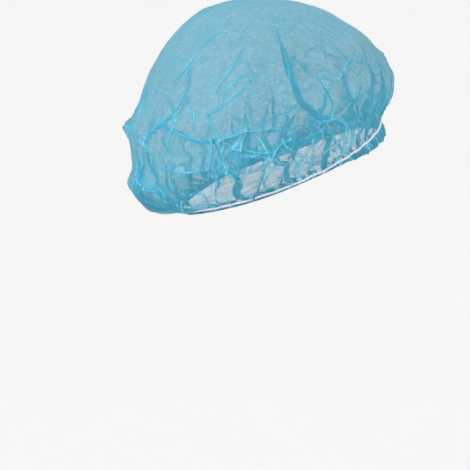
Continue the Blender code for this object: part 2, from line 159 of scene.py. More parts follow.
# A pleat is doubled back under itself, a crease only stands up, and a swell is a soft ridge. wide and high are
# in millimetres, and a minus before wide lays the pleat the other way. start, middle and end are the shares of
# them along it, and places are azimuths and shares down.
Fold = namedtuple("Fold", "kind wide high start middle end places")
FOLDS = [
    Fold("pleat", 5.0, 0.35, 0.02, 0.75, 1.0,
         [(110, 0.34), (106, 0.50), (104, 0.58), (100, 0.67), (94, 0.75), (90, 0.82), (87, 0.90), (93, 1.0)]),
    Fold("swell", 6.0, 2.4, 0.2, 1.0, 0.6, [(108, 0.42), (103, 0.60), (97, 0.70), (91, 0.80)]),
    Fold("crease", 1.6, 1.2, 0.1, 1.0, 0.5, [(149, 0.36), (157, 0.42), (160, 0.46), (166, 0.51)]),
    Fold("pleat", 2.6, 0.35, 0.02, 0.8, 0.6,
         [(160, 0.44), (156, 0.54), (158, 0.61), (164, 0.65), (172, 0.68), (182, 0.70)]),
    Fold("swell", 5.0, 2.2, 0.2, 1.0, 0.6, [(158, 0.48), (157, 0.56), (161, 0.64), (172, 0.69)]),
    Fold("crease", 1.6, 1.0, 0.2, 1.0, 0.2, [(129, 0.43), (136, 0.51), (140, 0.57)]),
    Fold("crease", 1.6, 1.4, 0.2, 0.8, 1.0, [(142, 0.64), (139, 0.69), (136, 0.72)]),
    Fold("pleat", -1.8, 0.35, 0.05, 0.8, 0.8,
         [(169, 0.66), (156, 0.69), (150, 0.71), (142, 0.73), (134, 0.73)]),
    Fold("pleat", 3.2, 0.5, 0.4, 1.0, 0.8,
         [(136, 0.73), (132, 0.76), (124, 0.79), (117, 0.82), (111, 0.86), (107, 0.92), (112, 1.0)]),
    Fold("crease", 1.9, 2.0, 1.0, 0.9, 0.2, [(134, 0.73), (128, 0.73), (122, 0.73), (110, 0.76)]),
    Fold("pleat", -3.0, 0.5, 0.3, 1.0, 0.9, [(140, 0.73), (136, 0.77), (132, 0.83), (128, 0.90), (135, 1.0)]),
    Fold("crease", 1.8, 1.8, 1.0, 0.8, 0.3, [(140, 0.73), (140, 0.80), (141, 0.86)]),
    Fold("crease", 1.8, 1.8, 0.3, 0.8, 1.0, [(138, 0.80), (138, 0.89), (147, 1.0)]),
    Fold("crease", 1.4, 1.4, 0.3, 1.0, 0.8, [(163, 0.785), (149, 0.81), (141, 0.815)]),
    Fold("crease", 1.6, 1.4, 0.3, 1.0, 0.4, [(119, 0.74), (117, 0.78), (113, 0.83)]),
    Fold("crease", 1.6, 1.4, 0.9, 0.8, 0.3, [(113, 0.83), (110, 0.81), (106, 0.80)]),
    Fold("pleat", 2.0, 0.35, 0.05, 0.9, 0.3, [(92, 0.57), (89, 0.65), (86, 0.72), (87, 0.75), (91, 0.75)]),
    Fold("pleat", 2.4, 0.35, 0.35, 0.8, 1.0,
         [(78, 0.60), (77, 0.67), (75, 0.74), (71, 0.81), (71, 0.93), (76, 1.0)]),
    Fold("crease", 1.6, 1.6, 1.0, 0.8, 0.2, [(78, 0.60), (74, 0.57), (68, 0.54)]),
    Fold("crease", 1.6, 1.6, 1.0, 0.8, 0.2, [(78, 0.60), (70, 0.58), (60, 0.56)]),
    Fold("crease", 1.6, 1.4, 1.0, 0.8, 0.1, [(78, 0.60), (82, 0.63), (90, 0.60)]),
    Fold("crease", 1.6, 1.4, 0.2, 1.0, 0.3, [(66, 0.62), (70, 0.68), (70, 0.74)]),
    Fold("pleat", -2.4, 0.35, 0.05, 0.7, 1.0, [(57, 0.58), (60, 0.71), (60, 0.81), (61, 1.0)]),
    Fold("pleat", 2.0, 0.35, 0.05, 0.7, 1.0, [(44, 0.62), (51, 0.70), (52, 0.80), (49, 1.0)]),
    Fold("crease", 1.2, 0.6, 0.1, 1.0, 0.4, [(86, 0.30), (74, 0.38), (66, 0.49), (59, 0.58)]),
    Fold("crease", 1.2, 0.5, 0.1, 1.0, 0.2, [(93, 0.33), (83, 0.42), (76, 0.51), (70, 0.56)]),
    Fold("crease", 1.2, 0.6, 0.1, 1.0, 0.4, [(76, 0.29), (62, 0.43), (53, 0.56), (48, 0.64)]),
    Fold("pleat", 2.0, 0.7, 0.5, 1.0, 0.9,
         [(91, 0.75), (86, 0.77), (80, 0.81), (76, 0.85), (74, 0.91), (75, 0.96), (80, 1.0)]),
    Fold("crease", 2.2, 3.0, 0.6, 1.0, 1.0,
         [(91, 0.775), (85, 0.79), (80, 0.83), (78, 0.87), (77, 0.92), (79, 0.96), (84, 1.0)]),
    Fold("pleat", -1.8, 0.7, 0.5, 1.0, 0.9,
         [(90, 0.80), (86, 0.82), (82, 0.86), (80, 0.92), (81, 0.97), (86, 1.0)]),
    Fold("crease", 2.0, 2.6, 0.5, 1.0, 1.0, [(92, 0.85), (88, 0.885), (86, 0.93), (91, 1.0)]),
    Fold("swell", 4.0, 2.6, 0.3, 1.0, 0.8, [(88, 0.77), (82, 0.81), (78, 0.88)]),
    Fold("crease", 1.8, 1.8, 0.3, 0.8, 1.0, [(120, 0.79), (115, 0.87), (122, 1.0)]),
    Fold("crease", 1.8, 1.6, 0.2, 0.8, 1.0, [(103, 0.86), (101, 0.92), (107, 1.0)]),
    Fold("crease", 1.8, 1.6, 0.2, 0.8, 1.0, [(96, 0.84), (95, 0.92), (101, 1.0)]),
    Fold("pleat", 2.2, 0.35, 0.05, 0.8, 1.0, [(163, 0.84), (156, 0.89), (152, 0.93), (156, 1.0)]),
    Fold("crease", 1.6, 1.6, 0.2, 0.8, 1.0, [(150, 0.88), (146, 0.92), (151, 1.0)]),
    Fold("pleat", 2.8, 0.4, 0.05, 0.8, 0.8,
         [(174, 0.70), (178, 0.76), (178, 0.82), (168, 0.87), (161, 0.92), (164, 1.0)]),
    Fold("pleat", -1.8, 0.35, 0.05, 1.0, 0.3, [(186, 0.68), (181, 0.72), (180, 0.76), (184, 0.82)]),
    Fold("crease", 1.5, 1.4, 1.0, 0.8, 0.2, [(183, 0.69), (174, 0.73), (174, 0.78)]),
    Fold("crease", 1.5, 1.4, 0.2, 1.0, 0.4, [(195, 0.78), (184, 0.81), (175, 0.86)]),
    Fold("crease", 1.8, 1.6, 1.0, 0.8, 0.2, [(207, 0.67), (200, 0.66), (188, 0.67)]),
    Fold("crease", 1.8, 1.4, 0.2, 0.8, 0.8, [(198, 0.54), (192, 0.61), (188, 0.68)]),
    Fold("pleat", 2.2, 0.35, 0.02, 0.6, 1.0, [(12, 0.52), (8, 0.66), (6, 0.78), (9, 1.0)]),
    Fold("pleat", -2.2, 0.35, 0.05, 0.6, 1.0, [(335, 0.62), (338, 0.70), (340, 0.79), (344, 0.88), (343, 1.0)]),
    Fold("pleat", 3.4, 0.35, 0.02, 0.7, 1.0,
         [(314, 0.36), (312, 0.56), (313, 0.68), (316, 0.80), (322, 0.92), (319, 1.0)]),
    Fold("swell", 5.0, 1.4, 0.2, 1.0, 0.6, [(313, 0.44), (312, 0.60), (315, 0.76)]),
    Fold("crease", 1.8, 1.6, 0.1, 0.8, 1.0, [(299, 0.76), (297, 0.87), (293, 1.0)]),
    Fold("crease", 1.5, 1.2, 0.1, 1.0, 0.4, [(272, 0.36), (263, 0.44), (260, 0.49), (251, 0.55)]),
    Fold("pleat", 2.2, 0.35, 0.02, 0.8, 0.6, [(261, 0.47), (262, 0.58), (258, 0.67), (250, 0.70), (240, 0.72)]),
    Fold("pleat", -1.8, 0.35, 0.2, 1.0, 0.8,
         [(240, 0.72), (247, 0.72), (255, 0.75), (264, 0.80), (271, 0.84), (279, 0.87), (282, 0.93),
          (277, 1.0)]),
    Fold("crease", 1.8, 1.6, 0.2, 0.8, 1.0, [(268, 0.83), (271, 0.91), (264, 1.0)]),
    Fold("pleat", 2.0, 0.35, 0.2, 0.8, 1.0, [(232, 0.73), (239, 0.80), (240, 0.89), (234, 1.0)]),
    Fold("pleat", 2.0, 0.35, 0.02, 0.7, 0.4, [(214, 0.50), (210, 0.57), (206, 0.64), (201, 0.72)]),
    Fold("crease", 1.8, 1.6, 0.2, 0.8, 1.0, [(222, 0.80), (226, 0.89), (222, 1.0)]),
]


SMALL_CREASES = 70


def small_creases():
    """Short faint creases, most of them running down the cloth."""
    draw = np.random.default_rng(21)
    made = []
    for _ in range(SMALL_CREASES):
        turn = draw.uniform(0, 360)
        down = draw.uniform(0.50, 0.92)
        long = draw.uniform(0.05, 0.13)
        lean = draw.normal(0, 9)
        bend = draw.normal(0, 1.5)
        made.append(Fold("crease", draw.uniform(1.1, 1.6), draw.uniform(0.5, 1.1), 0.1, 1.0, 0.1,
                         [(turn, down), (turn + lean / 2 + bend, down + long / 2), (turn + lean, down + long)]))
    return made


FOLDS += small_creases()

# How far a fold fades past its ends, the share of its size below which it isn't worth fine faces, and how far
# to each side it moves the cloth: so many times its width, or at least this
FADE_LENGTH = 4 * MM
LEAST_SHARE = 0.02
REACH_WIDTHS = 4.0
LEAST_REACH = 8 * MM


def fold_line(fold):
    """A smooth line of points on the smooth crown along a fold, and the ways out of the crown there."""
    knots = [(i, math.radians(a), d) for i, (a, d) in enumerate(fold.places)]
    at = np.linspace(0, len(knots) - 1, 8 * len(knots))
    turn, down = np.moveaxis(smooth_rows(knots, at), -1, 0)
    return plain_crown(turn, down), outward(turn, down)


def beside(line, outs, points):
    """Where points lie along a line, as a share; how far to its right; which way that is; how far past it."""
    legs = np.diff(line, axis=0)
    squares = (legs**2).sum(-1)
    lengths = np.sqrt(squares)
    starts = np.concatenate([[0], np.cumsum(lengths)])
    off = points[:, None] - line[None, :-1]
    t = np.clip((off * legs).sum(-1) / squares, 0, 1)
    gap = off - t[..., None] * legs
    k = (gap**2).sum(-1).argmin(-1)
    rows = np.arange(len(points))
    t_k = t[rows, k][:, None]
    tangent = unit(legs)[k]
    out = unit(outs[k] * (1 - t_k) + outs[k + 1] * t_k)
    right = unit(np.cross(tangent, out))
    along = (starts[k] + t_k[:, 0] * lengths[k]) / starts[-1]
    sideways = (gap[rows, k] * right).sum(-1)
    past = np.abs((gap[rows, k] * tangent).sum(-1))
    return along, sideways, right, past


def fold_size(fold, along, past):
    """A fold's width and height in metres and its share, fading past its ends."""
    grown = np.interp(along, [0, 0.5, 1], [fold.start, fold.middle, fold.end])
    grown = grown * smooth_step(1 - past / FADE_LENGTH)
    return abs(fold.wide) * MM * grown + 1e-6, fold.high * MM * np.sqrt(grown), grown


def fold_reach(fold):
    """How far to each side a fold moves the cloth, in metres."""
    return max(REACH_WIDTHS * abs(fold.wide) * MM, LEAST_REACH)


def near_fold(fold, line, points):
    """Which points are in the fold's box, so that the rest need no work."""
    reach = fold_reach(fold)
    inside = (points > line.min(axis=0) - reach) & (points < line.max(axis=0) + reach)
    return np.nonzero(inside.all(axis=-1))[0]


def closeness(around, down):
    """How near points are to the nearest fold's band and to its sharp lines, in metres."""
    points = plain_crown(around, down)
    to_band = np.full(len(points), 1.0)
    to_line = np.full(len(points), 1.0)
    for fold in FOLDS:
        if fold.kind == "swell":
            continue
        line, outs = fold_line(fold)
        near = near_fold(fold, line, points)
        along, sideways, right, past = beside(line, outs, points[near])
        wide, high, grown = fold_size(fold, along, past)
        off = np.abs(sideways)
        sharp = np.abs(off - wide) if fold.kind == "pleat" else off
        to_band[near] = np.minimum(to_band[near], np.maximum(off - 1.2 * wide, past))
        to_line[near] = np.minimum(to_line[near], np.where(grown > LEAST_SHARE, np.hypot(sharp, past), 1.0))
    return to_band, to_line


def finer(mesh, chosen):
    """Cuts each edge whose two ends are chosen in half, and the faces beside it with it."""
    for i, vertex in enumerate(mesh.verts):
        vertex.tag = bool(chosen[i])
    edges = [edge for edge in mesh.edges if edge.verts[0].tag and edge.verts[1].tag]
    bmesh.ops.subdivide_edges(mesh, edges=edges, cuts=1, use_grid_fill=True)
    mesh.verts.index_update()


def sheet_places(mesh):
    """The flat sheet's points, their azimuths, and their shares of the way down to the gathers."""
    flat = np.array([vertex.co[:] for vertex in mesh.verts])
    radius = np.hypot(flat[:, 0], flat[:, 1])
    return flat, np.arctan2(flat[:, 0], flat[:, 1]) % math.tau, radius / GATHERED_RADIUS


# The flat sheet is spun from a line of vertices. Its columns are closer on the side towards the camera, and its
# rows closer below the smooth top.
COLUMNS = 480
ROWS = 78
NEAR_SIDE = math.radians(124)
COLUMNS_CLOSER = 0.3
EVEN_ROWS = [0, 0.09, 0.90, 1]
CLOSER_ROWS = [0, 0.24, 0.945, 1]

sheet_mesh = bmesh.new()
line_ends = [sheet_mesh.verts.new((0, 0, 0)), sheet_mesh.verts.new((0, 1, 0))]
sheet_mesh.edges.new(line_ends)
bmesh.ops.subdivide_edges(sheet_mesh, edges=sheet_mesh.edges[:], cuts=ROWS - 1)
bmesh.ops.spin(sheet_mesh, geom=sheet_mesh.verts[:] + sheet_mesh.edges[:], cent=(0, 0, 0), axis=(0, 0, 1),
               angle=math.tau, steps=COLUMNS, use_merge=True)
bmesh.ops.remove_doubles(sheet_mesh, verts=sheet_mesh.verts, dist=1e-5)
turns = np.linspace(0, math.tau, 721)
swing = np.sin(turns - NEAR_SIDE) + math.sin(NEAR_SIDE)
even_turns = (turns + COLUMNS_CLOSER * swing) / math.tau
for vertex in sheet_mesh.verts:
    turn = np.interp((math.atan2(vertex.co.x, vertex.co.y) / math.tau) % 1, even_turns, turns)
    radius = np.interp(vertex.co.xy.length, EVEN_ROWS, CLOSER_ROWS) * SHEET_RADIUS
    vertex.co = (radius * math.sin(turn), radius * math.cos(turn), 0)

# It is finer near the folds and the gathers, and finer still along the sharp lines that face the camera
FINE_BESIDE_FOLDS = 1.2 * MM
FINE_ABOVE_ELASTIC = 36 * MM
FINEST_BESIDE_LINES = 0.8 * MM

for finest in (False, True):
    flat, around, down = sheet_places(sheet_mesh)
    to_band, to_line = closeness(around, np.minimum(down, 1))
    if finest:
        chosen = (to_line < FINEST_BESIDE_LINES) & (np.cos(around - NEAR_SIDE) > -0.1)
    else:
        chosen = (to_band < FINE_BESIDE_FOLDS) | ((1 - down) * GATHERED_RADIUS < FINE_ABOVE_ELASTIC)
    finer(sheet_mesh, chosen)


def nearer_ends(value, ends, inside):
    """Of each edge inside on whose two ends the value has unlike signs, the end where it is smaller."""
    crossed = ends[inside[ends[:, 0]] & inside[ends[:, 1]]]
    crossed = crossed[value[crossed[:, 0]] * value[crossed[:, 1]] <= 0]
    first = np.abs(value[crossed[:, 0]]) <= np.abs(value[crossed[:, 1]])
    return np.unique(np.where(first, crossed[:, 0], crossed[:, 1]))


# In millimetres: the width at which a pleat starts to be laid over, half the width of the sharp line along a
# pleat's edge and along a crease, and the height past which the ridges of folds that meet are levelled off
NARROW_PLEAT = 0.35
PLEAT_LINE = 0.8
CREASE_LINE = 0.9
HIGHEST_RIDGE = 3.0


def folded(points, outs, ends):
    """Works out what the folds do to points of the smooth crown.

    Gives how far they move along it and out of it, how creased the cloth is, which points are on sharp lines,
    and how near a fold is, from 0 to 1.
    """
    moved = np.zeros_like(points)
    height = np.zeros(len(points))
    ridges = np.zeros(len(points))
    creased = np.zeros(len(points))
    taken = np.zeros(len(points))
    on_line = np.zeros(len(points), bool)
    for fold in FOLDS:
        line, line_outs = fold_line(fold)
        near = near_fold(fold, line, points)
        inside = np.zeros(len(points), bool)
        along, sideways, right, past = beside(line, line_outs, points[near])
        wide, high, grown = fold_size(fold, along, past)
        inside[near] = (past < 3 * MM) & (grown > LEAST_SHARE)
        placed = np.zeros(len(points))
        placed[near] = sideways
        width = np.zeros(len(points))
        width[near] = wide
        if fold.kind == "pleat":
            # Its two edges swap sides, so that its band lies under the cloth, which is drawn in to it
            inside &= width > NARROW_PLEAT * MM
            for edge in (-1, 1):
                snaps = nearer_ends(placed - edge * width, ends, inside)
                placed[snaps] = edge * width[snaps]
                on_line[snaps] = True
            snapped = placed[near]
            off = np.abs(snapped)
            side = np.sign(snapped)
            reach = fold_reach(fold)
            laid = 1 - 2 * smooth_step((wide / MM - NARROW_PLEAT) / 0.5)
            outer = side * (laid * wide + (off - wide) * (reach - laid * wide) / (reach - wide))
            to = np.where(off <= wide, laid * snapped, np.where(off < reach, outer, snapped))
            stack = side * math.copysign(1, fold.wide)
            level = np.where(off <= wide, 1 - stack * off / wide, 1 - stack)
            fade = smooth_step(1 - (off - wide) / (reach - wide))
            moved[near] += right * (to - sideways)[:, None]
            ridges[near] += high * level * fade + 1.5 * high * np.exp(-((off / (2.2 * wide)) ** 2))
            sharp = np.exp(-(((off - wide) / (PLEAT_LINE * MM)) ** 2)) * np.sqrt(grown)
        elif fold.kind == "crease":
            # It stands up sharply, with a faint hollow on each side
            snaps = nearer_ends(placed, ends, inside)
            placed[snaps] = 0
            on_line[snaps] = True
            off = np.abs(placed[near])
            moved[near] += right * (placed[near] - sideways)[:, None]
            foot = 0.3 * np.exp(-(((off - 3 * wide) / (1.5 * wide)) ** 2))
            ridges[near] += high * (np.exp(-off / wide) - foot)
            sharp = 0.95 * np.exp(-((off / (CREASE_LINE * MM)) ** 2)) * np.sqrt(grown)
        else:
            height[near] += high * np.exp(-((sideways / wide) ** 2))
            continue
        creased[near] = np.maximum(creased[near], sharp)
        fullness = np.sqrt(np.clip(grown, 0, 1))
        taken[near] = np.maximum(taken[near], np.exp(-((off / (3 * wide + MM)) ** 2)) * fullness)
    # Where folds meet, their ridges are levelled off
    piled = np.clip(ridges / MM - HIGHEST_RIDGE, 0, None)
    return moved, height + ridges + (np.tanh(piled) - piled) * MM, creased, on_line, taken


# Edges are laid along the sharp lines of the folds, so that they stay crisp
flat, around, down = sheet_places(sheet_mesh)
plain = plain_crown(around, np.minimum(down, 1))
out_of = outward(around, np.minimum(down, 1))
round_it = unit(np.cross(out_of, OPENING_AXIS))
edge_ends = np.array([[vertex.index for vertex in edge.verts] for edge in sheet_mesh.edges])
moved, fold_height, fold_creases, on_line, taken = folded(plain, out_of, edge_ends)
sheet_mesh.verts.ensure_lookup_table()
bmesh.ops.connect_verts(sheet_mesh, verts=[sheet_mesh.verts[i] for i in np.nonzero(on_line)[0]])
bmesh.ops.triangulate(sheet_mesh, faces=[face for face in sheet_mesh.faces if len(face.verts) > 4])
past_line = np.clip(down - 1, 0, None) * GATHERED_RADIUS
down = np.minimum(down, 1)
above = (1 - down) * GATHERED_RADIUS - past_line


# Hollows and swellings: azimuth, place down, reach of each, and how far out in millimetres
Dent = namedtuple("Dent", "around down reach_around reach_down out")
DENTS = [
    Dent(206, 0.665, 16, 0.032, 5.0),
    Dent(199, 0.57, 20, 0.06, -2.5),
    Dent(198, 0.755, 24, 0.045, -4.0),
    Dent(206, 0.80, 18, 0.03, -5.5),
    Dent(192, 0.90, 22, 0.05, -3.5),
    Dent(180, 0.93, 16, 0.04, -2.0),
    Dent(30, 0.60, 14, 0.05, 2.0),
    Dent(28, 0.72, 18, 0.05, 1.4),
    Dent(48, 0.87, 18, 0.05, -4.0),
    Dent(95, 0.60, 10, 0.13, -4.0),
    Dent(128, 0.86, 14, 0.06, 2.8),
    Dent(150, 0.62, 14, 0.05, -3.5),
    Dent(155, 0.79, 14, 0.06, 2.8),
    Dent(74, 0.66, 9, 0.09, -3.5),
    Dent(101, 0.83, 12, 0.06, 3.0),
    Dent(259, 0.83, 12, 0.06, 3.0),
    Dent(285, 0.62, 14, 0.11, -4.0),
    Dent(236, 0.80, 16, 0.07, 3.5),
    Dent(355, 0.64, 12, 0.09, -2.8),
]


def dented(around, down):
    """How far the hollows and swellings move the cloth outwards, in metres."""
    height = np.zeros_like(around)
    for dent in DENTS:
        turn = (np.degrees(around) - dent.around + 180) % 360 - 180
        far = np.hypot(turn / dent.reach_around, (down - dent.down) / dent.reach_down)
        height += dent.out * MM * (1 - smooth_step(far / 2)) ** 2
    return height


def wander(around, waves, seed):
    """A smooth random line round the cap, about -1 to 1, with about so many waves."""
    draw = np.random.default_rng(seed)
    total = np.zeros_like(around)
    for k in range(max(1, waves // 2), waves + waves // 2 + 1):
        total += draw.normal() * np.cos(around * k + draw.uniform(0, math.tau))
    return total / math.sqrt(waves + 1)


# The gathers come in sets that take over from each other on the way up from the elastic, each with half as
# many pleats as the one below it. GATHERS_ROUND is the number in the lowest set, and GATHERS_RADIUS the cloth's
# mean radius there. A set has how far its pleats are laid over, lifted and puffed, in millimetres, and the
# heights above the elastic, in millimetres, at which it starts, is full, starts to open and is gone.
GATHERS_ROUND = 132
GATHERS_RADIUS = 0.095
Gathers = namedtuple("Gathers", "over lift puff start full open gone")
GATHERS = [
    Gathers(4.0, 0.30, 0.20, -40, -30, 6, 22),
    Gathers(6.2, 0.50, 1.40, -2, 5, 16, 48),
    Gathers(7.0, 0.80, 2.80, 3, 12, 30, 76),
    Gathers(5.0, 0.80, 3.40, 8, 26, 42, 98),
]

# How strong the gathers are round the cap, and how far they lean over in millimetres for each one up
Strength = namedtuple("Strength", "around share lean")
STRENGTHS = [
    Strength(0, 0.8, 0.0),
    Strength(25, 0.75, 0.2),
    Strength(55, 0.9, 0.4),
    Strength(80, 0.9, 0.7),
    Strength(105, 0.9, 0.8),
    Strength(130, 0.9, 0.7),
    Strength(160, 1.0, 0.3),
    Strength(200, 1.0, -0.3),
    Strength(235, 0.9, -0.7),
    Strength(280, 0.85, -0.8),
    Strength(310, 0.85, -0.5),
    Strength(340, 0.85, -0.3),
    Strength(360, 0.8, 0.0),
]

# The height up to which they lean, and how wide the creased edge of a laid pleat is beside the whole pleat
LEANING_HEIGHT = 0.03
PLEAT_EDGE = 0.10


def gathered(around, above):
    """How far the gathers move the cloth outwards and round the cap, and how creased their edges are."""
    out = np.zeros_like(around)
    side = np.zeros_like(around)
    creased = np.zeros_like(around)
    strength, lean = np.moveaxis(smooth_rows(STRENGTHS, np.degrees(around)), -1, 0)
    upright = around + lean * np.clip(above, 0, LEANING_HEIGHT) / GATHERS_RADIUS
    beat = GATHERS_ROUND * upright + 3.0 * wander(upright, 12, 10) + 1.5 * wander(upright, 40, 20)
    for i, some in enumerate(GATHERS):
        taller = 1 + 0.5 * wander(upright, 40 // 2**i, 40 + i)
        high = above / MM / np.clip(taller, 0.4, 2.0)
        over = some.over * MM * (1 + 0.2 * smooth_step(-above / (4 * MM)))
        shape = smooth_step((high - some.start) / (some.full - some.start))
        shape = shape * np.clip((some.gone - high) / (some.gone - some.open), 0, 1) * strength
        phase = beat / 2**i + i
        out += shape * MM * (some.puff * np.cos(phase) - some.lift * np.sin(phase))
        side += shape * over * np.sin(phase)
        steep = over * GATHERS_ROUND / 2**i / GATHERS_RADIUS * shape
        turn = np.arccos(np.clip(-1 / np.maximum(steep, 1e-6), -1, 1))
        from_edges = np.sin((phase - turn) / 2), np.sin((phase + turn) / 2)
        edge = sum(np.exp(-((gap / PLEAT_EDGE) ** 2)) for gap in from_edges)
        creased = np.maximum(creased, np.where(steep > 1, edge, 0) * np.clip(steep - 1, 0, 1))
    return out, side, np.clip(creased, 0, 1)


# How long the facets are between the creases that the cloth has from its packing
FACETS = (0.060, 0.043, 0.031, 0.023, 0.017, 0.013)


def crumpled(flat):
    """How far the facets stand out, in metres, and the faint straight creases between them, from 0 to 1."""
    draw = np.random.default_rng(5)
    height = np.zeros(len(flat))
    lines = np.zeros(len(flat))
    for size in FACETS:
        turn = draw.uniform(0, math.pi)
        along = flat[:, :2] @ np.array([math.cos(turn), math.sin(turn)])
        across = flat[:, :2] @ np.array([-math.sin(turn), math.cos(turn)])
        wave = along / size + 0.35 * np.sin(across / (0.6 * size) + draw.uniform(0, 6)) + draw.uniform(0, 1)
        patch_along = np.sin(along / (1.1 * size) + draw.uniform(0, 6))
        patch_across = np.sin(across / (1.5 * size) + draw.uniform(0, 6))
        patch = smooth_step(0.45 + 0.55 * (patch_along * patch_across))
        ridge = np.abs(wave % 1 - 0.5) * 4 - 1
        height += 0.013 * size * ridge * patch
        lines = np.maximum(lines, patch * smooth_step((ridge - 0.86) / 0.14))
    return height, lines


# Heights above the elastic: where the folds reach their full height, where they keep the gathers off them,
# where the cloth starts to turn square to the opening, and where the elastic starts to press it in, and how far
FOLDS_FULL = 10 * MM
FOLDS_FREE = 6 * MM
TURNS_SQUARE = 8 * MM
PRESSED = 3 * MM
PRESSED_IN = 0.5 * MM

out, side, gather_creases = gathered(around, above)
left_free = 1 - 0.8 * taken * smooth_step(above / FOLDS_FREE)
out = out * left_free
side = side * left_free
crumple, faint_creases = crumpled(flat)
lift = out + (dented(around, down) + crumple + fold_height) * smooth_step(above / FOLDS_FULL)
throat_share = smooth_step(1 - past_line / (THROAT_LENGTH + 3 * MM))
hem_out = opening_outward(around)
near_elastic = 1 - smooth_step(above / TURNS_SQUARE)[:, None]
lift_way = unit(out_of * (1 - near_elastic) + hem_out * near_elastic)
moved = moved - near_elastic * (moved @ OPENING_AXIS)[:, None] * OPENING_AXIS
under_elastic = smooth_step(1 - above / PRESSED) * PRESSED_IN
place = plain + moved * throat_share[:, None] + lift_way * lift[:, None] + round_it * side[:, None]
place -= hem_out * under_elastic[:, None]
place += OPENING_AXIS * np.minimum(past_line, THROAT_LENGTH)[:, None]
# How creased the cloth is; the material also paints its highlight where this is high.
creased = np.clip(fold_creases + 0.6 * gather_creases + 0.3 * faint_creases, 0, 1)


def fibre_grain():
    """A node group: fine grain drawn out one way, as fibres are, from 0 to 1."""
    group = bpy.data.node_groups.new("Fibre grain", "ShaderNodeTree")
    sockets = group.interface
    sockets.new_socket("Place", in_out="INPUT", socket_type="NodeSocketVector")
    sockets.new_socket("Per metre", in_out="INPUT", socket_type="NodeSocketFloat")
    sockets.new_socket("Turn", in_out="INPUT", socket_type="NodeSocketFloat")
    sockets.new_socket("Drawn out", in_out="INPUT", socket_type="NodeSocketFloat")
    sockets.new_socket("Grain", in_out="OUTPUT", socket_type="NodeSocketFloat")
    taken_in = group.nodes.new("NodeGroupInput")
    given_out = group.nodes.new("NodeGroupOutput")
    turned = group.nodes.new("ShaderNodeVectorRotate")
    turned.rotation_type = "Z_AXIS"
    squeeze = group.nodes.new("ShaderNodeCombineXYZ")
    squeeze.inputs["X"].default_value = 1
    squeeze.inputs["Z"].default_value = 1
    narrow = group.nodes.new("ShaderNodeMath")
    narrow.operation = "DIVIDE"
    narrow.inputs[0].default_value = 1
    stretched = group.nodes.new("ShaderNodeVectorMath")
    stretched.operation = "MULTIPLY"
    noise = group.nodes.new("ShaderNodeTexNoise")
    noise.inputs["Detail"].default_value = 2
    noise.inputs["Roughness"].default_value = 0.55
    for source, socket in (
        (taken_in.outputs["Place"], turned.inputs["Vector"]),
        (taken_in.outputs["Turn"], turned.inputs["Angle"]),
        (taken_in.outputs["Drawn out"], narrow.inputs[1]),
        (narrow.outputs[0], squeeze.inputs["Y"]),
        (turned.outputs[0], stretched.inputs[0]),
        (squeeze.outputs[0], stretched.inputs[1]),
        (stretched.outputs[0], noise.inputs["Vector"]),
        (taken_in.outputs["Per metre"], noise.inputs["Scale"]),
        (noise.outputs["Fac"], given_out.inputs["Grain"]),
    ):
        group.links.new(source, socket)
    return group


FIBRE_GRAIN = fibre_grain()


class Finish:
    """A material under construction, with its nodes added and linked in one call each."""

    def __init__(self, name):
        self.material = bpy.data.materials.new(name)
        self.material.use_nodes = True
        self.tree = self.material.node_tree
        self.shader = self.tree.nodes["Principled BSDF"]

    def node(self, kind, settings=(), **inputs):
        """A node with its settings made and its inputs set, or linked where a socket is given."""
        made = self.tree.nodes.new(kind)
        for key, value in dict(settings).items():
            setattr(made, key, value)
        for key, value in inputs.items():
            self.feed(made.inputs[key.replace("_", " ")], value)
        return made

    def feed(self, socket, value):
        """Links a socket's input to another socket, or sets it to a value."""
        if isinstance(value, bpy.types.NodeSocket):
            self.tree.links.new(value, socket)
        else:
            socket.default_value = value

    def sum(self, operation, *values, clamp=False):
        """What a Math node makes of the values."""
        made = self.tree.nodes.new("ShaderNodeMath")
        made.operation = operation
        made.use_clamp = clamp
        for socket, value in zip(made.inputs, values):
            self.feed(socket, value)
        return made.outputs[0]

    def grain(self, place, per_metre, turn, drawn_out):
        """Fibre grain of a size, turned and drawn out."""
        made = self.node("ShaderNodeGroup", {"node_tree": FIBRE_GRAIN})
        values = {"Place": place, "Per metre": per_metre, "Turn": turn, "Drawn out": drawn_out}
        for key, value in values.items():
            self.feed(made.inputs[key], value)
        return made.outputs["Grain"]


# The nonwoven: a thin web of fibres laid every way, more along the roll, with thick and thin places and a fine
# grid of welded points. It is see-through face on, denser at a slant and where it is creased. Where it is most
# creased, a light blue is painted on as a highlight.
FIBRES = [(0.60, 1.3), (1.35, 0.8), (-0.35, 0.8)]
FIBRES_PER_METRE = 950
FIBRE_LENGTH = 9
THIN_PLACES_PER_METRE = 330
CLOUDS_PER_METRE = 70
WELDS_PER_METRE = 700
PLAIN_DENSITY = 0.59
THINNEST = 0.28
CLOTH_BLUE = (0.062, 0.37, 0.51, 1)
CREASE_BLUE = (0.02, 0.40, 0.61, 1)
# The light blue below is a painted highlight, for the middles of the sharpest creases and for the front
# ruffles.
RIDGE_HIGHLIGHT_BLUE = (0.24, 0.70, 0.84, 1)

# What each part of the web adds to the density, and what a crease and a slanting look add to it. Light that
# isn't seen directly meets a thinner cloth, as it comes through from every side.
WEB_SHARE = 0.48
SPECKLE_SHARE = 0.45
CLOUD_SHARE = 0.30
WELD_SHARE = -0.10
CREASE_SHARE = 0.50
SLANT_POWER = 2.5
UNSEEN_SHARE = 0.25
LIT_THROUGH_SHARE = 0.35


